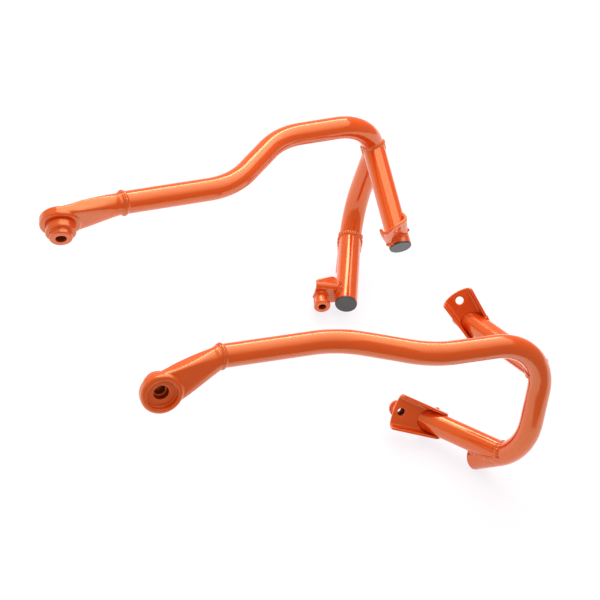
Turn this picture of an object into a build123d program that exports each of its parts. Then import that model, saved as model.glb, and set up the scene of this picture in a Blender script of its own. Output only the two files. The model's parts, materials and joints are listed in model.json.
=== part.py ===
from build123d import *
import os

# Pair of welded tubular crash bars: a right bar (-Y) and a left bar (+Y), X forwards, Z up, millimetres.
# Each bar is modelled as a right one, with +Y pointing inboard, and the left one is then mirrored.

# Tube stock
tube_diameter = 25.0
tube_wall = 2.5
fit_clearance = 0.1

# Route of the main tube, from the lug at its rear end to the hook at its lower front end
rear_half_width = 129.0
rear_run = 130.5
rear_splay = 3.0
jog_length = 80.5
jog_width = 58.0
jog_rise = 10.5
front_run = 134.0
front_splay = 5.0
drop_height = 138.0
drop_setback = 5.5
drop_splay = 17.0
hook_setback = 23.0
hook_inset = 50.5
hook_drop = 49.0
jog_start_radius = 92.0
jog_end_radius = 82.0
front_bend_radius = 61.0
hook_bend_radius = 72.0
end_disc_thickness = 3.0

# Struts, which leave the main tube at stations measured along it from its lower end
upper_strut_station = 173.0
lower_strut_station = 42.0
lower_strut_overhang = 14.5

# Plastic end plugs of the struts
plug_head_diameter = 24.4
plug_head_thickness = 2.0
plug_edge_radius = 0.8
plug_stem_length = 12.0
plug_stem_wall = 1.8

# Forged lug at the rear end
lug_stub_length = 3.0
lug_spigot_length = 14.0
neck_root_size = 24.0
neck_root_radius = 11.6
neck_end_height = 43.0
neck_end_thickness = 11.0
eye_diameter = 45.0
eye_thickness = 12.0
eye_edge_radius = 3.0
eye_recess_diameter = 33.0
eye_recess_depth = 5.5
eye_bore = 16.0
eye_seat_diameter = 38.0

# Turned bush on the inner face of the eye
bush_collar_diameter = 33.0
bush_collar_length = 10.0
bush_nose_diameter = 25.0
bush_nose_length = 6.5
bush_bore = 12.0
bush_edge = 1.0

# Weld bead round the joint of the lug and the main tube
weld_width = 6.0
weld_height = 0.9

# Brackets, folded from plate
plate_thickness = 3.0
plate_bend_radius = 3.5
bracket_cope_run = 15.0
bracket_corner_radius = 7.0
bracket_hole = 8.5
upper_bracket_face = Vector(-0.35, -0.85, 0.39)

# Turned boss behind the lower bracket's hole
boss_neck_diameter = 14.5
boss_collar_diameter = 18.5
boss_collar_length = 5.0
boss_length = 16.5
boss_edge = 1.0

# What differs between the bars: how far the struts reach, the lug's eye and bolt, and the brackets
bars = {
    "right": {
        "upper_strut_setback": 19.0,
        "upper_strut_inset": 126.5,
        "upper_strut_drop": 26.0,
        "upper_strut_overhang": 23.0,
        "upper_bracket_reach": Vector(-0.445, 0.609, 0.654),
        "upper_bracket": {
            "length": 40.5, "lap": 10.0, "throat_play": 4.5, "width": 36.5,
            "root_flange": 14.0, "end_flange": 12.0, "end_radius": 42.0, "hole_station": 31.0,
        },
        "lug_setback": 66.5,
        "lug_outset": 11.5,
        "lug_drop": 25.0,
        "lug_bolt": Vector(0.15, 0.97, -0.17).normalized(),
        "lower_strut_setback": 48.0,
        "lower_strut_inset": 93.0,
        "lower_strut_drop": 17.0,
        "lower_bracket_reach": Vector(-0.891, 0.362, 0.253),
        "lower_bracket": {
            "length": 46.0, "lap": 12.0, "throat_play": 4.0, "width": 40.5,
            "root_flange": 15.0, "end_flange": 12.0, "end_radius": 80.0, "hole_station": 37.0,
        },
    },
    "left": {
        "upper_strut_setback": 12.0,
        "upper_strut_inset": 117.5,
        "upper_strut_drop": 52.0,
        "upper_strut_overhang": 7.5,
        "upper_bracket_reach": Vector(-0.436, 0.313, 0.843),
        "upper_bracket": {
            "length": 40.5, "lap": -7.0, "throat_play": 4.0, "width": 34.0,
            "root_flange": 14.0, "end_flange": 11.0, "end_radius": 42.0, "hole_station": 30.5,
        },
        "lug_setback": 63.5,
        "lug_outset": 11.5,
        "lug_drop": 23.0,
        "lug_bolt": Vector(-0.28, 0.91, -0.31).normalized(),
        "lower_strut_setback": 45.5,
        "lower_strut_inset": 90.5,
        "lower_strut_drop": 16.0,
        "lower_bracket_reach": Vector(-0.94, -0.31, -0.10),
        "lower_bracket": {
            "length": 37.0, "lap": -9.0, "throat_play": 2.0, "width": 36.0,
            "root_flange": 20.0, "end_flange": 9.0, "end_radius": 80.0, "hole_station": 29.5,
        },
    },
}

tube_radius = tube_diameter / 2
tube_bore = tube_diameter - 2 * tube_wall
# Struts are a clearance thinner than the main tube, so that their copes end on its wall
strut_radius = (tube_diameter - fit_clearance) / 2


def main_route():
    """Axis of the main tube: straight runs with a bend at each corner."""
    rear_end = Vector(0, -rear_half_width, 0)
    jog_start = rear_end + Vector(rear_run, -rear_splay, 0)
    jog_end = jog_start + Vector(jog_length, -jog_width, jog_rise)
    front_corner = jog_end + Vector(front_run, -front_splay, 0)
    drop_foot = front_corner + Vector(-drop_setback, -drop_splay, -drop_height)
    hook_end = drop_foot + Vector(-hook_setback, hook_inset, -hook_drop)
    radii = [jog_start_radius, jog_end_radius, front_bend_radius, hook_bend_radius]
    with BuildLine():
        path = FilletPolyline(rear_end, jog_start, jog_end, front_corner, drop_foot, hook_end, radius=radii)
    return path


route = main_route()


def from_lower_end(distance):
    """Point on the main tube's axis, at a distance along it from its lower end."""
    return route.position_at(route.length - distance, position_mode=PositionMode.LENGTH)


def squared(direction, axis):
    """The share of a direction that stands square to an axis."""
    return (direction - axis * direction.dot(axis)).normalized()


def main_tube(bore):
    """The main tube along its route, or its solid envelope when the bore is 0."""
    with BuildPart() as tube:
        with BuildLine():
            add(route)
        with BuildSketch(Plane(origin=route @ 0, z_dir=route % 0)):
            Circle(tube_radius)
            if bore:
                Circle(bore / 2, mode=Mode.SUBTRACT)
        sweep()
    return tube.part


main_envelope = main_tube(0)


def end_disc():
    """Disc welded into the lower end of the main tube."""
    with BuildPart() as disc:
        with BuildSketch(Plane(origin=route @ 1, z_dir=-(route % 1))):
            Circle(tube_bore / 2 - fit_clearance)
        extrude(amount=end_disc_thickness)
    return disc.part


def strut(start, reach, bore):
    """Strut coped to sit on the main tube, or its solid envelope when the bore is 0."""
    with BuildPart() as tube:
        with BuildSketch(Plane(origin=start, z_dir=reach)):
            Circle(strut_radius)
            if bore:
                Circle(bore / 2, mode=Mode.SUBTRACT)
        extrude(amount=reach.length)
        add(main_envelope, mode=Mode.SUBTRACT)
    return tube.part


def cope_solid(start, reach):
    """A strut's envelope run on past its end, which a bracket's web and flanges are cut to."""
    return strut(start, reach + reach.normalized() * bracket_cope_run, 0)


def end_plug(end, reach):
    """Moulded plug in the end of a strut: a hollow stem in the bore and a head on the tube's rim."""
    stem_radius = tube_bore / 2 - fit_clearance
    seat = Plane(origin=end, z_dir=reach)
    with BuildPart() as plug:
        with BuildSketch(Plane(origin=end, x_dir=seat.x_dir, z_dir=-seat.y_dir)) as half:
            Rectangle(plug_head_diameter / 2, plug_head_thickness, align=Align.MIN)
            fillet(half.vertices().sort_by(Axis.X)[-2:].sort_by(Axis.Y)[-1], plug_edge_radius)
            with Locations((stem_radius, 0)):
                Rectangle(plug_stem_wall, plug_stem_length, align=Align.MAX)
        revolve(axis=Axis(end, reach))
    return plug.part


def lug(eye, bolt):
    """Forged lug: a round stub, a neck that flattens and drops, and an eye square to the bolt."""
    root = route @ 0
    back = -(route % 0)
    stub_end = root + back * lug_stub_length
    fall = eye - stub_end
    down_eye = squared(fall, bolt)
    with BuildPart() as forging:
        with BuildSketch(Plane(origin=stub_end, x_dir=squared(bolt, back), z_dir=back)):
            RectangleRounded(neck_root_size, neck_root_size, neck_root_radius)
        with BuildSketch(Plane(origin=eye, x_dir=bolt, z_dir=down_eye)):
            RectangleRounded(neck_end_thickness, neck_end_height, eye_edge_radius)
        loft(ruled=True)
        with BuildSketch(Plane(origin=stub_end, z_dir=-back)):
            Circle(tube_radius)
        extrude(amount=lug_stub_length)
        with BuildSketch(Plane(origin=root, z_dir=-back)):
            Circle(tube_bore / 2 - fit_clearance)
        extrude(amount=lug_spigot_length)
        with BuildSketch(Plane(origin=eye, x_dir=down_eye, z_dir=down_eye.cross(bolt))) as half:
            with Locations((eye_diameter / 4, 0)):
                Rectangle(eye_diameter / 2, eye_thickness)
            fillet(half.vertices().group_by(Axis.X)[-1], eye_edge_radius)
        revolve(axis=Axis(eye, bolt))
        with BuildSketch(Plane(origin=eye + bolt * eye_thickness / 2, z_dir=bolt)):
            Circle(eye_seat_diameter / 2)
        extrude(amount=eye_thickness, mode=Mode.SUBTRACT)
        with BuildSketch(Plane(origin=eye - bolt * eye_thickness, z_dir=bolt)):
            Circle(eye_recess_diameter / 2)
        extrude(amount=eye_thickness / 2 + eye_recess_depth, mode=Mode.SUBTRACT)
        with BuildSketch(Plane(origin=eye, z_dir=bolt)):
            Circle(eye_bore / 2)
        extrude(amount=eye_thickness, both=True, mode=Mode.SUBTRACT)
    return forging.part


def lug_bush(eye, bolt):
    """Turned bush on the inner face of the eye: a collar, a smaller nose and a bore for the bolt."""
    seat = Plane(origin=eye + bolt * eye_thickness / 2, z_dir=bolt)
    collar_radius = bush_collar_diameter / 2
    nose_radius = bush_nose_diameter / 2
    nose_end = bush_collar_length + bush_nose_length
    with BuildPart() as bush:
        with BuildSketch(Plane(origin=seat.origin, x_dir=seat.x_dir, z_dir=-seat.y_dir)):
            with BuildLine():
                Polyline(
                    (bush_bore / 2, 0),
                    (collar_radius, 0),
                    (collar_radius, bush_collar_length - bush_edge),
                    (collar_radius - bush_edge, bush_collar_length),
                    (nose_radius, bush_collar_length),
                    (nose_radius, nose_end - bush_edge),
                    (nose_radius - bush_edge, nose_end),
                    (bush_bore / 2, nose_end),
                    close=True,
                )
            make_face()
        revolve(axis=Axis(seat.origin, bolt))
    return bush.part


def lug_weld():
    """Rounded weld bead round the joint of the lug and the main tube."""
    root = route @ 0
    along = route % 0
    seat = Plane(origin=root, z_dir=along)
    edge = weld_width / 2
    with BuildPart() as bead:
        with BuildSketch(Plane(origin=root, x_dir=seat.x_dir, z_dir=-seat.y_dir)):
            with BuildLine():
                ThreePointArc((tube_radius, -edge), (tube_radius + weld_height, 0), (tube_radius, edge))
                Line((tube_radius, edge), (tube_radius, -edge))
            make_face()
        revolve(axis=Axis(root, along))
    return bead.part


def bracket_frame(crossing, reach, face):
    """Frame where a strut's axis crosses a bracket's web: x along it, z the way its flanges stand."""
    along = reach.normalized()
    return Plane(origin=crossing, x_dir=along, z_dir=squared(face, along))


def bracket(frame, size, strut_solid):
    """Folded channel coped to the end of a strut, widening to a bolt hole near its rounded free end."""
    length = size["length"]
    lap = size["lap"]
    throat = tube_diameter + size["throat_play"]
    flange_root = size["root_flange"] - plate_thickness
    flange_end = size["end_flange"] - plate_thickness
    with BuildPart() as channel:
        for station, across in [(-lap, throat), (length, size["width"])]:
            middle = frame.origin + frame.x_dir * station
            with BuildSketch(Plane(origin=middle, x_dir=frame.y_dir, z_dir=frame.x_dir)) as section:
                with Locations((0, -plate_thickness)):
                    Rectangle(across, size["root_flange"], align=(Align.CENTER, Align.MIN))
                fillet(section.vertices().group_by(Axis.Y)[0], plate_bend_radius + plate_thickness)
                gap = across - 2 * plate_thickness
                Rectangle(gap, flange_root, align=(Align.CENTER, Align.MIN), mode=Mode.SUBTRACT)
                fillet(section.vertices().filter_by_position(Axis.Y, -0.01, 0.01), plate_bend_radius)
        loft(ruled=True)
        with BuildSketch(Plane(origin=frame.origin, x_dir=frame.x_dir, z_dir=-frame.y_dir)) as side_view:
            with BuildLine():
                Polyline(
                    (-lap, -plate_thickness),
                    (length, -plate_thickness),
                    (length, flange_end),
                    (-lap, flange_root),
                    close=True,
                )
            make_face()
            fillet(side_view.vertices().sort_by(Axis.Y)[-2:], bracket_corner_radius)
        extrude(amount=size["width"], both=True, mode=Mode.INTERSECT)
        with BuildSketch(frame):
            with Locations((length - size["end_radius"], 0)):
                Circle(size["end_radius"])
        extrude(amount=size["root_flange"], both=True, mode=Mode.INTERSECT)
        add(strut_solid, mode=Mode.SUBTRACT)
        with BuildSketch(Plane(origin=frame.origin, x_dir=frame.x_dir, z_dir=-frame.z_dir)):
            Rectangle(length, throat, align=(Align.MAX, Align.CENTER))
        extrude(amount=plate_thickness, mode=Mode.SUBTRACT)
        with BuildSketch(Plane(origin=frame.origin, x_dir=frame.x_dir, z_dir=-frame.z_dir)):
            with Locations((size["hole_station"], 0)):
                Circle(bracket_hole / 2)
        extrude(amount=plate_thickness, mode=Mode.SUBTRACT)
    return channel.part


def bracket_boss(frame, hole_station):
    """Turned boss on the back of the lower bracket's web, in line with its hole, with a collar."""
    base = frame.origin + frame.x_dir * hole_station - frame.z_dir * plate_thickness
    with BuildPart() as boss:
        with BuildSketch(Plane(origin=base, z_dir=-frame.z_dir)):
            Circle(boss_neck_diameter / 2)
        extrude(amount=boss_length)
        with BuildSketch(Plane(origin=base - frame.z_dir * boss_length, z_dir=frame.z_dir)):
            Circle(boss_collar_diameter / 2)
        extrude(amount=boss_collar_length)
        chamfer(boss.faces().sort_by(Axis(base, -frame.z_dir))[-1].edges(), boss_edge)
        with BuildSketch(Plane(origin=base, z_dir=-frame.z_dir)):
            Circle(bracket_hole / 2)
        extrude(amount=boss_length, mode=Mode.SUBTRACT)
    return boss.part


def bar_pieces(bar):
    """Every piece of one bar, by name, as a right bar."""
    eye = (route @ 0) + Vector(-bar["lug_setback"], -bar["lug_outset"], -bar["lug_drop"])
    upper_start = from_lower_end(upper_strut_station)
    upper_reach = Vector(-bar["upper_strut_setback"], bar["upper_strut_inset"], -bar["upper_strut_drop"])
    upper_end = upper_start + upper_reach
    upper_crossing = upper_end - upper_reach.normalized() * bar["upper_strut_overhang"]
    upper_frame = bracket_frame(upper_crossing, bar["upper_bracket_reach"], upper_bracket_face)
    lower_start = from_lower_end(lower_strut_station)
    lower_reach = Vector(-bar["lower_strut_setback"], bar["lower_strut_inset"], -bar["lower_strut_drop"])
    lower_end = lower_start + lower_reach
    lower_crossing = lower_end - lower_reach.normalized() * lower_strut_overhang
    lower_frame = bracket_frame(lower_crossing, bar["lower_bracket_reach"], -lower_reach)
    return {
        "main_tube": main_tube(tube_bore),
        "end_disc": end_disc(),
        "lug": lug(eye, bar["lug_bolt"]),
        "lug_bush": lug_bush(eye, bar["lug_bolt"]),
        "lug_weld": lug_weld(),
        "upper_strut": strut(upper_start, upper_reach, tube_bore),
        "upper_plug": end_plug(upper_end, upper_reach),
        "upper_bracket": bracket(upper_frame, bar["upper_bracket"], cope_solid(upper_start, upper_reach)),
        "lower_strut": strut(lower_start, lower_reach, tube_bore),
        "lower_plug": end_plug(lower_end, lower_reach),
        "lower_bracket": bracket(lower_frame, bar["lower_bracket"], cope_solid(lower_start, lower_reach)),
        "lower_boss": bracket_boss(lower_frame, bar["lower_bracket"]["hole_station"]),
    }


pieces = {}
for side, bar in bars.items():
    for name, piece in bar_pieces(bar).items():
        pieces[f"{side}_{name}"] = mirror(piece, about=Plane.XZ) if side == "left" else piece

# The origin lies on the middle plane, under the middle of the pair, level with its lowest point
boxes = [piece.bounding_box() for piece in pieces.values()]
rearmost = min(box.min.X for box in boxes)
foremost = max(box.max.X for box in boxes)
lowest = min(box.min.Z for box in boxes)
to_origin = Pos(-(rearmost + foremost) / 2, 0, -lowest)

os.makedirs("parts", exist_ok=True)
for name, piece in pieces.items():
    placed = to_origin * piece
    placed.label = name
    export_step(placed, f"parts/{name}.step")
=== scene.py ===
import json
import math

import bmesh
import bpy
import numpy as np
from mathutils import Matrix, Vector


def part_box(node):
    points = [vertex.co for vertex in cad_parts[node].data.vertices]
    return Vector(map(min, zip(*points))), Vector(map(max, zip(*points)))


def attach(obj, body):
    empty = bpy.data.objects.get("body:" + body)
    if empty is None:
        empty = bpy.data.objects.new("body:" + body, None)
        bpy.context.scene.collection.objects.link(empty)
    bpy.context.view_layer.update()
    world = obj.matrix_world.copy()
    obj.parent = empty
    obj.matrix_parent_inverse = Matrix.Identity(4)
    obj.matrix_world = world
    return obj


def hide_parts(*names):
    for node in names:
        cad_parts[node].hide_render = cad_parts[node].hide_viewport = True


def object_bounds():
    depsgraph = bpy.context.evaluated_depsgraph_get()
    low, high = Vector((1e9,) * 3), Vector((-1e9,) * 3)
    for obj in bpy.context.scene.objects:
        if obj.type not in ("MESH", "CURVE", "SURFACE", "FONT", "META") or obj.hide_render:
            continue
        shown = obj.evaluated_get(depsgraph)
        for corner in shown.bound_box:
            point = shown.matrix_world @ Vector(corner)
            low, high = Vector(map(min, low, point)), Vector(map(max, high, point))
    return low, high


# Sizes are in metres, or in millimetres where a name ends in Mm
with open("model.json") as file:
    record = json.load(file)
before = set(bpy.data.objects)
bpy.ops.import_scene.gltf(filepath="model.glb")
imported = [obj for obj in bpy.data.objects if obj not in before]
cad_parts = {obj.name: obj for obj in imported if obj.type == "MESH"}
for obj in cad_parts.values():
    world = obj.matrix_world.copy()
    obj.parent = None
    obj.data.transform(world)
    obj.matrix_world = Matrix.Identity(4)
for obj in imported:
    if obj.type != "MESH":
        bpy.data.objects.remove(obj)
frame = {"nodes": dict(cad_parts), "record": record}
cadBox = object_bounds()
nodes = frame["nodes"]
scene = bpy.context.scene
sides = ("right", "left")
sameSpot = 1e-6  # points nearer to each other than this are one point
print("frame loaded:", len(nodes), "nodes")


def linear(hexColour):  # sRGB hex to the linear colour that shaders take
    parts = [int(hexColour[i:i + 2], 16) / 255 for i in (1, 3, 5)]
    return [c / 12.92 if c <= 0.04045 else ((c + 0.055) / 1.055) ** 2.4 for c in parts] + [1.0]


def metres(millimetres):
    return millimetres / 1000


def perMetre(millimetres):  # texture scale that gives a pattern its real size
    return 1000 / millimetres


def addNode(tree, kind, settings=None, links=None):
    node = tree.nodes.new(kind)
    for key, value in (settings or {}).items():
        if isinstance(key, int) or key in node.inputs:
            node.inputs[key].default_value = value
        else:
            setattr(node, key, value)
    for key, source in (links or {}).items():
        tree.links.new(source, node.inputs[key])
    return node


def blankMaterial(name):
    material = bpy.data.materials.new(name)
    material.use_nodes = True
    material.node_tree.nodes.clear()
    return material, material.node_tree


def addObject(name, data):
    added = bpy.data.objects.new(name, data)
    scene.collection.objects.link(added)
    return added


noiseSpan = {"From Min": 0.3, "From Max": 0.7}  # where nearly all of a noise texture's values lie

# Gloss polyester powder coat, sprayed dry and baked: a hard, even skin with sharp reflections,
# a faint orange peel that makes them swim, and a slightly deeper tone where it lies thick.
tubeCoat = {
    "bright": "#DA4610", "deep": "#D2400E", "driftMm": 38,
    "gleam": "#FFF0B0", "gleamLevel": 1.0, "ior": 1.6, "rough": (0.1, 0.17), "roughMm": 14,
    "peelMm": 2.6, "peelDepthMm": 0.022, "grainMm": 0.9, "grainShare": 0.25,
}
# The same coat over a forging keeps some of the scale and flow of the surface below.
forgingCoat = dict(tubeCoat, rough=(0.17, 0.27), driftMm=16, peelMm=3.4, peelDepthMm=0.05)
# On folded plate the coat lies flatter and shows a little of the rolled surface.
plateCoat = dict(tubeCoat, rough=(0.15, 0.24), driftMm=22, peelMm=2.2, peelDepthMm=0.03)
# Over the welds it bridges the ripples and pools between them, so it is thick and glossy there.
weldCoat = dict(
    tubeCoat, bright="#DA4812", deep="#C83A0E", driftMm=5, rough=(0.12, 0.22), peelMm=1.4, peelDepthMm=0.04)
# Inside a bore little powder settles, so it is thin and dull; its dark colour is partly that thin coat and
# partly painted shade of the recess.
boreCoatAndShade = dict(
    tubeCoat, bright="#8A3418", deep="#642412", driftMm=4, rough=(0.8, 0.95), gleamLevel=0.05,
    peelDepthMm=0.06)


def powderCoat(name, coat):
    material, tree = blankMaterial(name)
    place = addNode(tree, "ShaderNodeTexCoord").outputs["Object"]
    drift = addNode(
        tree, "ShaderNodeTexNoise", {"Scale": perMetre(coat["driftMm"]), "Detail": 3.0}, {"Vector": place})
    tone = addNode(  # 6 and 7 are the sockets of the two colours
        tree, "ShaderNodeMix", {"data_type": "RGBA", 6: linear(coat["deep"]), 7: linear(coat["bright"])},
        {0: drift.outputs[0]})
    haze = addNode(
        tree, "ShaderNodeTexNoise", {"Scale": perMetre(coat["roughMm"]), "Detail": 2.0}, {"Vector": place})
    rough = addNode(
        tree, "ShaderNodeMapRange", {**noiseSpan, "To Min": coat["rough"][0], "To Max": coat["rough"][1]},
        {"Value": haze.outputs[0]})
    peel = addNode(
        tree, "ShaderNodeTexNoise", {"Scale": perMetre(coat["peelMm"]), "Detail": 1.0}, {"Vector": place})
    grain = addNode(
        tree, "ShaderNodeTexNoise", {"Scale": perMetre(coat["grainMm"]), "Detail": 0.0}, {"Vector": place})
    height = addNode(
        tree, "ShaderNodeMath", {"operation": "MULTIPLY_ADD", 1: coat["grainShare"]},
        {0: grain.outputs[0], 2: peel.outputs[0]})
    bump = addNode(
        tree, "ShaderNodeBump", {"Strength": 1.0, "Distance": metres(coat["peelDepthMm"])},
        {"Height": height.outputs[0]})
    gloss = {
        "IOR": coat["ior"], "Specular IOR Level": coat["gleamLevel"], "Specular Tint": linear(coat["gleam"])}
    shader = addNode(
        tree, "ShaderNodeBsdfPrincipled", gloss,
        {"Base Color": tone.outputs[2], "Roughness": rough.outputs[0], "Normal": bump.outputs[0]})
    addNode(tree, "ShaderNodeOutputMaterial", None, {"Surface": shader.outputs[0]})
    return material


# Moulded polyethylene: waxy and dark grey, with the matt grain of a spark-eroded mould,
# which is finer on the real plug and drawn coarse enough to show.
plugPlastic = {
    "bright": "#43454A", "deep": "#383A3F", "driftMm": 6, "ior": 1.5, "rough": (0.27, 0.38),
    "grainMm": 0.7, "grainDepthMm": 0.02,
}


def mouldedPlastic(name, plastic):
    material, tree = blankMaterial(name)
    place = addNode(tree, "ShaderNodeTexCoord").outputs["Object"]
    drift = addNode(
        tree, "ShaderNodeTexNoise", {"Scale": perMetre(plastic["driftMm"]), "Detail": 3.0}, {"Vector": place})
    tone = addNode(
        tree, "ShaderNodeMix",
        {"data_type": "RGBA", 6: linear(plastic["deep"]), 7: linear(plastic["bright"])},
        {0: drift.outputs[0]})
    rough = addNode(
        tree, "ShaderNodeMapRange",
        {**noiseSpan, "To Min": plastic["rough"][0], "To Max": plastic["rough"][1]},
        {"Value": drift.outputs[0]})
    grain = addNode(
        tree, "ShaderNodeTexNoise", {"Scale": perMetre(plastic["grainMm"]), "Detail": 1.0}, {"Vector": place})
    bump = addNode(
        tree, "ShaderNodeBump", {"Strength": 1.0, "Distance": metres(plastic["grainDepthMm"])},
        {"Height": grain.outputs[0]})
    shader = addNode(
        tree, "ShaderNodeBsdfPrincipled", {"IOR": plastic["ior"]},
        {"Base Color": tone.outputs[2], "Roughness": rough.outputs[0], "Normal": bump.outputs[0]})
    addNode(tree, "ShaderNodeOutputMaterial", None, {"Surface": shader.outputs[0]})
    return material


finishes = {
    "tube_coat": powderCoat("glossPowderCoatOnTube", tubeCoat),
    "forging_coat": powderCoat("glossPowderCoatOnForging", forgingCoat),
    "bracket_coat": powderCoat("glossPowderCoatOnPlate", plateCoat),
    "weld_coat": powderCoat("glossPowderCoatOnWeld", weldCoat),
    "plug": mouldedPlastic("mouldedPolyethylene", plugPlastic),
}
# dark bore finish: partly a thin coat, partly painted shade of the bore
thinCoatAndPaintedShade = powderCoat("thinPowderCoatAndPaintedShadeInBore", boreCoatAndShade)
slotOf = {part["node"]: part["material_slot"] for part in frame["record"]["subparts"]}
for nodeName, node in nodes.items():
    node.data.materials.clear()
    node.data.materials.append(finishes[slotOf[nodeName]])
print("finishes made:", len(finishes))


def mergedCopy(nodeName):  # the node's triangles joined up, in a bmesh of their own
    shape = bmesh.new()
    shape.from_mesh(nodes[nodeName].data)
    bmesh.ops.remove_doubles(shape, verts=shape.verts, dist=sameSpot)
    return shape


def plainMesh(piece):  # the evaluated shape as a plain mesh, with no modifier left
    scene.view_layers[0].update()
    shown = piece.evaluated_get(bpy.context.evaluated_depsgraph_get())
    mesh = bpy.data.meshes.new_from_object(shown)
    piece.modifiers.clear()
    piece.data = mesh
    mesh.name = piece.name


def roundAxis(nodeName):  # middle and axis of a turned node, from the spread of its own face normals
    faces = nodes[nodeName].data.polygons
    normals = np.array([face.normal for face in faces])
    areas = np.array([face.area for face in faces])
    middle = (np.array([face.center for face in faces]) * areas[:, None]).sum(0) / areas.sum()
    spread, ways = np.linalg.eigh((normals * areas[:, None]).T @ normals)
    odd = 0 if spread[1] - spread[0] > spread[2] - spread[1] else 2
    return Vector(middle), Vector(ways[:, odd])


def widest(nodeName, origin, axis, high=math.inf):  # the node's radius about an axis, up to a station
    arms = [vert.co - origin for vert in nodes[nodeName].data.vertices]
    return max((arm - axis * arm.dot(axis)).length for arm in arms if arm.dot(axis) <= high)


def ringArms(axis, count):  # unit arms all round an axis
    across = axis.orthogonal().normalized()
    other = axis.cross(across)
    turns = [math.tau * i / count for i in range(count)]
    return [across * math.cos(turn) + other * math.sin(turn) for turn in turns]


def easeStep(values, low, high):
    share = np.clip((values - low) / (high - low), 0, 1)
    return share * share * (3 - 2 * share)


# Arm of the forged lug: slab-sided at the eye with a flat top, round where it meets the tube
lugArm = {
    "eyeHalfThickness": 0.0058, "eyeHalfHeight": 0.0215, "rootHalf": 0.012,
    "waist": 1.12,  # above 1, the arm's height draws in between its ends
    "topSquareness": 9.0, "lowSquareness": 4.2,  # powers of the section at the eye, where 2 is round
    "squareBy": 0.1,  # the share of the arm that is still a slab
    "eyeBlend": (0.0205, 0.029), "rootBlend": (0.0, 0.006),  # where the change sets in, at either end
    "leastLevel": 0.5,  # a point goes out to twice its distance at most
}


def squareArm(piece, side):
    bushMiddle, bolt = [np.array(found) for found in roundAxis(side + "_lug_bush")]
    root = np.array(roundAxis(side + "_lug_weld")[0])
    points = np.empty(len(piece.data.vertices) * 3)
    piece.data.vertices.foreach_get("co", points)
    points = points.reshape(-1, 3)
    # the eye's middle, halfway through its rim on the side away from the tube
    stations = (points - bushMiddle) @ bolt
    radii = np.linalg.norm(points - bushMiddle - stations[:, None] * bolt, axis=1)
    back = root - bushMiddle
    rim = (radii > lugArm["eyeBlend"][0]) & ((points - root) @ back < -np.linalg.norm(back) ** 2)
    eye = bushMiddle + bolt * (stations[rim].min() + stations[rim].max()) / 2
    # the arm's own directions, ahead to the tube and upright
    reach = root - eye
    flat = reach - bolt * (reach @ bolt)
    length = np.linalg.norm(flat)
    ahead = flat / length
    tall = np.cross(ahead, bolt)
    tall *= np.sign(tall[2])
    # where each point lies in a section that goes from a slab to a round
    run = (points - eye) @ ahead
    share = np.clip(run / length, 0, 1)
    middles = eye + share[:, None] * reach
    thick = lugArm["eyeHalfThickness"] + (lugArm["rootHalf"] - lugArm["eyeHalfThickness"]) * share
    rise = lugArm["eyeHalfHeight"] - lugArm["rootHalf"]
    high = lugArm["rootHalf"] + rise * (1 - share) ** lugArm["waist"]
    across = (points - middles) @ bolt / thick
    upright = (points - middles) @ tall / high
    square = np.where(upright > 0, lugArm["topSquareness"], lugArm["lowSquareness"])
    power = square + (2 - square) * easeStep(share, lugArm["squareBy"], 1)
    level = (np.abs(across) ** power + np.abs(upright) ** power) ** (1 / power)
    # each point goes out to its section, less so near the eye and the weld
    blend = easeStep(radii, *lugArm["eyeBlend"]) * easeStep(length - run, *lugArm["rootBlend"]) * (run > 0)
    moved = middles + (points - middles) / np.maximum(level, lugArm["leastLevel"])[:, None]
    points += (moved - points) * blend[:, None]
    piece.data.vertices.foreach_set("co", points.ravel())
    piece.data.update()


# Forgings, turned pieces and plates, with their edges rounded as a thick coat leaves them
softEdges = {
    "lug": {"grainMm": 0.6, "passes": 8},
    "lug_bush": {"grainMm": 0.45, "passes": 8},
    "upper_bracket": {"grainMm": 0.5, "passes": 12},
    "lower_bracket": {"grainMm": 0.5, "passes": 12},
    "lower_boss": {"grainMm": 0.45, "passes": 8},
}
passStrength = 0.5  # how far a pass moves a point towards the middle of its neighbours


def coatedPiece(side, kind, soft):
    nodeName = side + "_" + kind
    mesh = bpy.data.meshes.new(nodeName + "_coated")
    shape = mergedCopy(nodeName)
    shape.to_mesh(mesh)
    shape.free()
    piece = addObject(nodeName + "_coated", mesh)
    remesh = piece.modifiers.new("evenGrain", "REMESH")
    remesh.mode = "VOXEL"
    remesh.voxel_size = metres(soft["grainMm"])
    remesh.use_smooth_shade = True
    if kind == "lug":
        plainMesh(piece)
        squareArm(piece, side)
    smooth = piece.modifiers.new("roundEdges", "SMOOTH")
    smooth.factor = passStrength
    smooth.iterations = soft["passes"]
    plainMesh(piece)
    piece.data.materials.clear()
    piece.data.materials.append(finishes[slotOf[nodeName]])
    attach(piece, "root")
    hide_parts(nodeName)
    print("coated piece:", piece.name, len(piece.data.polygons), "faces")


for side in sides:
    for kind, soft in softEdges.items():
        coatedPiece(side, kind, soft)


# Bores: the spray hardly reaches in, so a thin, dull lining stands for what is left there; its dark colour is
# also painted shade for the depth of the bore
boreLining = {
    "sunk": 0.0001, "stands": 0.00012,  # into the bore's wall and out of it
    "inset": 0.0009,  # short of the bore's ends
    "sides": 64,
    "near": 0.00005,  # how near to the least radius the bore's points lie
}
boredPieces = {"lug": "lug_bush", "lug_bush": "lug_bush", "lower_boss": "lower_boss"}  # whose axis each takes


def narrowest(nodeName, origin, axis):  # the bore's radius, and the stations between which it runs
    arms = [vert.co - origin for vert in nodes[nodeName].data.vertices]
    offs = [(arm - axis * arm.dot(axis)).length for arm in arms]
    least = min(offs)
    stations = [arm.dot(axis) for arm, off in zip(arms, offs) if off < least + boreLining["near"]]
    return least, min(stations), max(stations)


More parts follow.
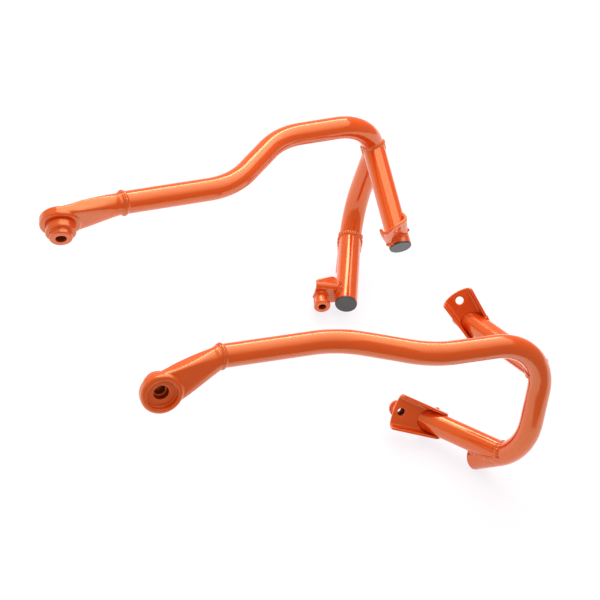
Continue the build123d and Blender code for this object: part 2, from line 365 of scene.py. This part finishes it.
def liningMesh(name, origin, axis, radius, low, high):
    count = boreLining["sides"]
    arms = ringArms(axis, count)
    inner = radius - boreLining["stands"]
    outer = radius + boreLining["sunk"]
    rings = [(inner, low), (inner, high), (outer, high), (outer, low)]
    points = [origin + axis * station + arm * ring for ring, station in rings for arm in arms]
    faces = []
    for k in range(len(rings)):
        after = (k + 1) % len(rings)
        for i in range(count):
            step = (i + 1) % count
            faces.append((k * count + i, k * count + step, after * count + step, after * count + i))
    mesh = bpy.data.meshes.new(name)
    mesh.from_pydata(points, [], faces)
    shape = bmesh.new()
    shape.from_mesh(mesh)
    bmesh.ops.recalc_face_normals(shape, faces=shape.faces)
    shape.to_mesh(mesh)
    shape.free()
    mesh.shade_smooth()
    # the lining carries the dark bore finish: thin coat and painted shade
    mesh.materials.append(thinCoatAndPaintedShade)
    return mesh


for side in sides:
    for bored, turned in boredPieces.items():
        middle, axis = roundAxis(f"{side}_{turned}")
        radius, low, high = narrowest(f"{side}_{bored}", middle, axis)
        name = f"{side}_{bored}_bore"
        inset = boreLining["inset"]
        lining = addObject(name, liningMesh(name, middle, axis, radius, low + inset, high - inset))
        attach(lining, "root")
        print("bore lined:", name, round(radius * 1000, 2), "mm radius")


# Weld seams: where a coped or turned piece sits on the one that carries it
weldBead = {
    "spacing": 0.0038, "length": 0.0031, "width": 0.0034, "height": 0.0021, "uneven": 0.18, "seed": 7,
    "rounding": 3, "core": 0.0016, "coreSides": 8,
}
seamSizes = {"strut": 1.0, "bracket": 0.8, "boss": 0.6, "lug": 0.6}  # each seam's share of the full bead
ringSides = {"boss": 48, "lug": 96}
seamReach = 0.00005  # how near to the round surface a seam's points lie
bridgeGap = 0.0022  # the gap that a bead still bridges, at a bracket's end
bracketEnd = 0.005  # how far past the plug's middle a bracket's seam still runs
seamBend = math.radians(25)  # the least turn of an edge that carries a seam
lugSink = 0.0006  # how far the lug's ripples sink into its bead


def seamLines(nodeName, origin, axis, radius, carried, high, gap=seamReach):
    # sharp edges of the node that lie on a round surface, with the way that the bead stands out
    shape = mergedCopy(nodeName)
    lines = []

    def outward(point):
        arm = point - origin
        return arm - axis * arm.dot(axis)

    for edge in shape.edges:
        if len(edge.link_faces) != 2 or edge.calc_face_angle(0) < seamBend:
            continue
        ends = [vert.co.copy() for vert in edge.verts]
        offs = [outward(end).length - radius for end in ends]
        if min(offs) < -seamReach or max(offs) > gap or max((end - origin).dot(axis) for end in ends) > high:
            continue
        arm = outward((ends[0] + ends[1]) / 2).normalized()
        first, second = sorted(edge.link_faces, key=lambda face: abs(face.normal.dot(arm)))
        shown, hidden = (second, first) if carried else (first, second)
        lines.append((ends[0], ends[1], (shown.normal - hidden.normal).normalized()))
    shape.free()
    return lines


def ringLines(origin, axis, radius, count, lean):  # a round seam as short edges; lean tips its bead
    arms = ringArms(axis, count)
    points = [origin + arm * radius for arm in arms]
    return [(points[i], points[(i + 1) % count], arms[i] + axis * lean) for i in range(count)]


def barSeams(side):
    seams = []
    for level in ("upper", "lower"):
        strut = f"{side}_{level}_strut"
        plugMiddle, axis = roundAxis(f"{side}_{level}_plug")
        low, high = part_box(strut)
        if (plugMiddle - (low + high) / 2).dot(axis) < 0:
            axis = -axis  # it points out of the strut's free end
        strutMiddle = ((low + high) / 2 - plugMiddle).dot(axis)
        radius = widest(strut, plugMiddle, axis)
        seams.append(("strut", seamLines(strut, plugMiddle, axis, radius, carried=True, high=strutMiddle)))
        bracketLines = seamLines(
            f"{side}_{level}_bracket", plugMiddle, axis, radius,
            carried=False, high=bracketEnd, gap=bridgeGap)
        seams.append(("bracket", [line for line in bracketLines if line[2].dot(axis) > 0]))  # its outer side
    boss = f"{side}_lower_boss"
    bossMiddle, bossAxis = roundAxis(boss)
    bracketLow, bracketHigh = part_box(f"{side}_lower_bracket")
    if ((bracketLow + bracketHigh) / 2 - bossMiddle).dot(bossAxis) > 0:
        bossAxis = -bossAxis  # it points away from the bracket
    base = min((vert.co - bossMiddle).dot(bossAxis) for vert in nodes[boss].data.vertices)
    neck = widest(boss, bossMiddle, bossAxis, base + seamReach)
    foot = bossMiddle + bossAxis * base
    seams.append(("boss", ringLines(foot, bossAxis, neck, ringSides["boss"], lean=1.0)))
    ringMiddle, ringAxis = roundAxis(f"{side}_lug_weld")
    ringRadius = widest(f"{side}_lug_weld", ringMiddle, ringAxis) - lugSink
    seams.append(("lug", ringLines(ringMiddle, ringAxis, ringRadius, ringSides["lug"], lean=0.0)))
    return seams


def seamMesh(name, seams):
    points, edges, lifts, sizes = [], [], [], []
    known = {}
    for kind, lines in seams:
        for start, end, lift in lines:
            ids = []
            for point in (start, end):
                key = (kind,) + tuple(round(c / sameSpot) for c in point)
                if key not in known:
                    known[key] = len(points)
                    points.append(point)
                    lifts.append(Vector())
                    sizes.append(seamSizes[kind])
                lifts[known[key]] += lift
                ids.append(known[key])
            edges.append(ids)
    mesh = bpy.data.meshes.new(name)
    mesh.from_pydata(points, edges, [])
    mesh.attributes.new("lift", "FLOAT_VECTOR", "POINT").data.foreach_set(
        "vector", [c for lift in lifts for c in lift.normalized()])
    mesh.attributes.new("size", "FLOAT", "POINT").data.foreach_set("value", sizes)
    return mesh


# What the tree is given besides its seam: each input's kind and value
rippleInputs = {
    "Ripple Spacing": ("Float", weldBead["spacing"]),
    "Ripple Length": ("Float", weldBead["length"]),
    "Ripple Width": ("Float", weldBead["width"]),
    "Ripple Height": ("Float", weldBead["height"]),
    "Unevenness": ("Float", weldBead["uneven"]),
    "Core Radius": ("Float", weldBead["core"]),
    "Seed": ("Int", weldBead["seed"]),
    "Coat": ("Material", finishes["weld_coat"]),
}


def weldTree():  # a core along the seam, with an uneven drop at each step
    tree = bpy.data.node_groups.new("weldRipples", "GeometryNodeTree")
    tree.interface.new_socket("Seam", in_out="INPUT", socket_type="NodeSocketGeometry")
    sockets = {}
    for label, (kind, _) in rippleInputs.items():
        socket = tree.interface.new_socket(label, in_out="INPUT", socket_type="NodeSocket" + kind)
        sockets[label] = socket.identifier
    tree.interface.new_socket("Bead", in_out="OUTPUT", socket_type="NodeSocketGeometry")
    given = addNode(tree, "NodeGroupInput").outputs
    size = addNode(tree, "GeometryNodeInputNamedAttribute", {"data_type": "FLOAT", "Name": "size"}).outputs[0]
    lift = addNode(
        tree, "GeometryNodeInputNamedAttribute", {"data_type": "FLOAT_VECTOR", "Name": "lift"}).outputs[0]
    seam = addNode(tree, "GeometryNodeMeshToCurve", None, {"Mesh": given["Seam"]})
    even = addNode(
        tree, "GeometryNodeResampleCurve", {"mode": "LENGTH"},
        {"Curve": seam.outputs[0], "Length": given["Ripple Spacing"]})
    scaled = addNode(tree, "GeometryNodeSetCurveRadius", None, {"Curve": even.outputs[0], "Radius": size})
    ring = addNode(
        tree, "GeometryNodeCurvePrimitiveCircle", {"Resolution": weldBead["coreSides"]},
        {"Radius": given["Core Radius"]})
    core = addNode(
        tree, "GeometryNodeCurveToMesh", None, {"Curve": scaled.outputs[0], "Profile Curve": ring.outputs[0]})
    along = addNode(tree, "GeometryNodeInputTangent")
    turn = addNode(tree, "FunctionNodeAlignRotationToVector", {"axis": "X"}, {"Vector": along.outputs[0]})
    stand = addNode(
        tree, "FunctionNodeAlignRotationToVector", {"axis": "Z", "pivot_axis": "X"},
        {"Rotation": turn.outputs[0], "Vector": lift})
    less = addNode(tree, "ShaderNodeMath", {"operation": "SUBTRACT", 0: 1.0}, {1: given["Unevenness"]})
    more = addNode(tree, "ShaderNodeMath", {"operation": "ADD", 0: 1.0}, {1: given["Unevenness"]})
    chance = addNode(
        tree, "FunctionNodeRandomValue", {"data_type": "FLOAT"},
        {2: less.outputs[0], 3: more.outputs[0], "Seed": given["Seed"]})
    share = addNode(tree, "ShaderNodeMath", {"operation": "MULTIPLY"}, {0: chance.outputs[1], 1: size})
    half = addNode(
        tree, "ShaderNodeCombineXYZ", None,
        {0: given["Ripple Length"], 1: given["Ripple Width"], 2: given["Ripple Height"]})
    spread = addNode(
        tree, "ShaderNodeVectorMath", {"operation": "SCALE"}, {0: half.outputs[0], "Scale": share.outputs[0]})
    drop = addNode(tree, "GeometryNodeMeshIcoSphere", {"Radius": 1.0, "Subdivisions": weldBead["rounding"]})
    ripples = addNode(
        tree, "GeometryNodeInstanceOnPoints", None,
        {"Points": even.outputs[0], "Instance": drop.outputs[0], "Rotation": stand.outputs[0],
         "Scale": spread.outputs[0]})
    both = addNode(tree, "GeometryNodeJoinGeometry")
    tree.links.new(core.outputs[0], both.inputs[0])
    tree.links.new(ripples.outputs[0], both.inputs[0])
    real = addNode(tree, "GeometryNodeRealizeInstances", None, {0: both.outputs[0]})
    smooth = addNode(tree, "GeometryNodeSetShadeSmooth", None, {0: real.outputs[0]})
    coat = addNode(
        tree, "GeometryNodeSetMaterial", None, {"Geometry": smooth.outputs[0], "Material": given["Coat"]})
    addNode(tree, "NodeGroupOutput", None, {0: coat.outputs[0]})
    return tree, sockets


ripplesTree, rippleSockets = weldTree()
for side in sides:
    seams = barSeams(side)
    for kind, lines in seams:
        print("seam:", side, kind, len(lines), "edges")
    welds = addObject(side + "_welds", seamMesh(side + "_seams", seams))
    ripples = welds.modifiers.new("ripples", "NODES")
    ripples.node_group = ripplesTree
    for label, (_, value) in rippleInputs.items():
        ripples[rippleSockets[label]] = value
    plainMesh(welds)
    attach(welds, "root")
    print("welds made:", welds.name, len(welds.data.polygons), "faces")

# Camera, placed from the middle of the right bar's rear weld
cameraView = {
    "fromRearWeld": (-1.3798, -2.28555, 2.1359), "turn": (51.8975, -9.7184, -24.9896),
    "lens": 204.33, "sensor": 36.0,
}
weldLow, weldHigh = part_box("right_lug_weld")
camera = addObject("camera", bpy.data.cameras.new("camera"))
camera.location = (weldLow + weldHigh) / 2 + Vector(cameraView["fromRearWeld"])
camera.rotation_euler = [math.radians(angle) for angle in cameraView["turn"]]
camera.data.lens = cameraView["lens"]
camera.data.sensor_width = cameraView["sensor"]
scene.camera = camera
print("camera placed")

# White paper under the pair, which keeps a soft shadow. Its own glow is a cool white that evens out the warm
# room.
# In the coat's reflections it glows brighter still, at the gleam level, which is a painted reflection on the
# coat.
paper = {
    "colour": "#F4F4F3", "glow": "#F9F9FF", "glowLevel": 1.06, "gleamLevel": 1.484, "glowShare": 0.8,
    "from": (-1.6, -0.42), "to": (1.6, 1.6),
}


def paperFloor():
    mesh = bpy.data.meshes.new("paperFloor")
    left, near = paper["from"]
    right, far = paper["to"]
    level = cadBox[0].z
    corners = [(left, near, level), (right, near, level), (right, far, level), (left, far, level)]
    mesh.from_pydata(corners, [], [(0, 1, 2, 3)])
    floor = addObject("paperFloor", mesh)
    material, tree = blankMaterial("mattPaperWithPaintedReflection")
    matt = addNode(tree, "ShaderNodeBsdfDiffuse", {"Color": linear(paper["colour"])})
    path = addNode(tree, "ShaderNodeLightPath").outputs
    lit = addNode(
        # glossy rays see the paper glow brighter than it is: a painted reflection on the coat
        tree, "ShaderNodeMapRange", {"To Min": paper["glowLevel"], "To Max": paper["gleamLevel"]},
        {"Value": path["Is Glossy Ray"]})
    white = addNode(
        tree, "ShaderNodeEmission", {"Color": linear(paper["glow"])}, {"Strength": lit.outputs[0]})
    seen = addNode(
        tree, "ShaderNodeMath", {"operation": "ADD"}, {0: path["Is Camera Ray"], 1: path["Is Glossy Ray"]})
    seenToo = addNode(
        tree, "ShaderNodeMath", {"operation": "ADD", "use_clamp": True},
        {0: seen.outputs[0], 1: path["Is Transmission Ray"]})
    share = addNode(
        tree, "ShaderNodeMath", {"operation": "MULTIPLY", 1: paper["glowShare"]}, {0: seenToo.outputs[0]})
    mix = addNode(
        tree, "ShaderNodeMixShader", None, {0: share.outputs[0], 1: matt.outputs[0], 2: white.outputs[0]})
    addNode(tree, "ShaderNodeOutputMaterial", None, {"Surface": mix.outputs[0]})
    mesh.materials.append(material)


paperFloor()

# Studio light: a big soft box overhead that fades out across its depth,
# and a strip behind for the narrow lines
softboxes = {
    "overhead": {
        "at": (0.5, -0.275, 1.47), "tilt": (8, 0, 0), "size": (1.9, 2.65), "watts": 22.5, "fall": (0.0, 2.0)},
    "backPanel": {
        "at": (0.5, 1.2, 1.42), "tilt": (-46, 0, 0), "size": (1.8, 0.36), "watts": 14, "fall": (1, 1)},
}


def softbox(name, box):
    lamp = bpy.data.lights.new(name, "AREA")
    lamp.shape = "RECTANGLE"
    lamp.size, lamp.size_y = box["size"]
    lamp.energy = box["watts"]
    lamp.use_nodes = True
    tree = lamp.node_tree
    tree.nodes.clear()
    spot = addNode(tree, "ShaderNodeNewGeometry").outputs["Parametric"]
    ends = addNode(tree, "ShaderNodeSeparateXYZ", None, {0: spot})
    fall = addNode(
        tree, "ShaderNodeMapRange", {"To Min": box["fall"][0], "To Max": box["fall"][1]},
        {"Value": ends.outputs[1]})
    glow = addNode(tree, "ShaderNodeEmission", None, {"Strength": fall.outputs[0]})
    addNode(tree, "ShaderNodeOutputLight", None, {0: glow.outputs[0]})
    light = addObject(name, lamp)
    light.location = box["at"]
    light.rotation_euler = [math.radians(angle) for angle in box["tilt"]]


for name, box in softboxes.items():
    softbox(name, box)

# Warm room round the paper, brighter at the back on the left. The camera itself sees a plain white backdrop.
room = {
    "colour": "#FFEBC8", "bright": (-0.5, 0.85, 0.0), "turnOver": (-0.3, 0.6), "front": 0.54, "back": 0.95,
    "backdrop": "#FFFFFF",
}


def warmRoom():
    world = bpy.data.worlds.new("warmRoom")
    scene.world = world
    world.use_nodes = True
    tree = world.node_tree
    tree.nodes.clear()
    seen = addNode(tree, "ShaderNodeLightPath").outputs["Is Camera Ray"]
    way = addNode(tree, "ShaderNodeTexCoord").outputs["Generated"]
    facing = addNode(tree, "ShaderNodeVectorMath", {"operation": "DOT_PRODUCT", 1: room["bright"]}, {0: way})
    span = {
        "From Min": room["turnOver"][0], "From Max": room["turnOver"][1],
        "To Min": room["front"], "To Max": room["back"]}
    level = addNode(tree, "ShaderNodeMapRange", span, {"Value": facing.outputs["Value"]})
    glow = addNode(
        tree, "ShaderNodeBackground", {"Color": linear(room["colour"])}, {"Strength": level.outputs[0]})
    white = addNode(tree, "ShaderNodeBackground", {"Color": linear(room["backdrop"]), "Strength": 1.0})
    pick = addNode(tree, "ShaderNodeMixShader", None, {0: seen, 1: glow.outputs[0], 2: white.outputs[0]})
    addNode(tree, "ShaderNodeOutputWorld", None, {"Surface": pick.outputs[0]})


warmRoom()
scene.view_settings.view_transform = "Standard"
print("light and floor made")
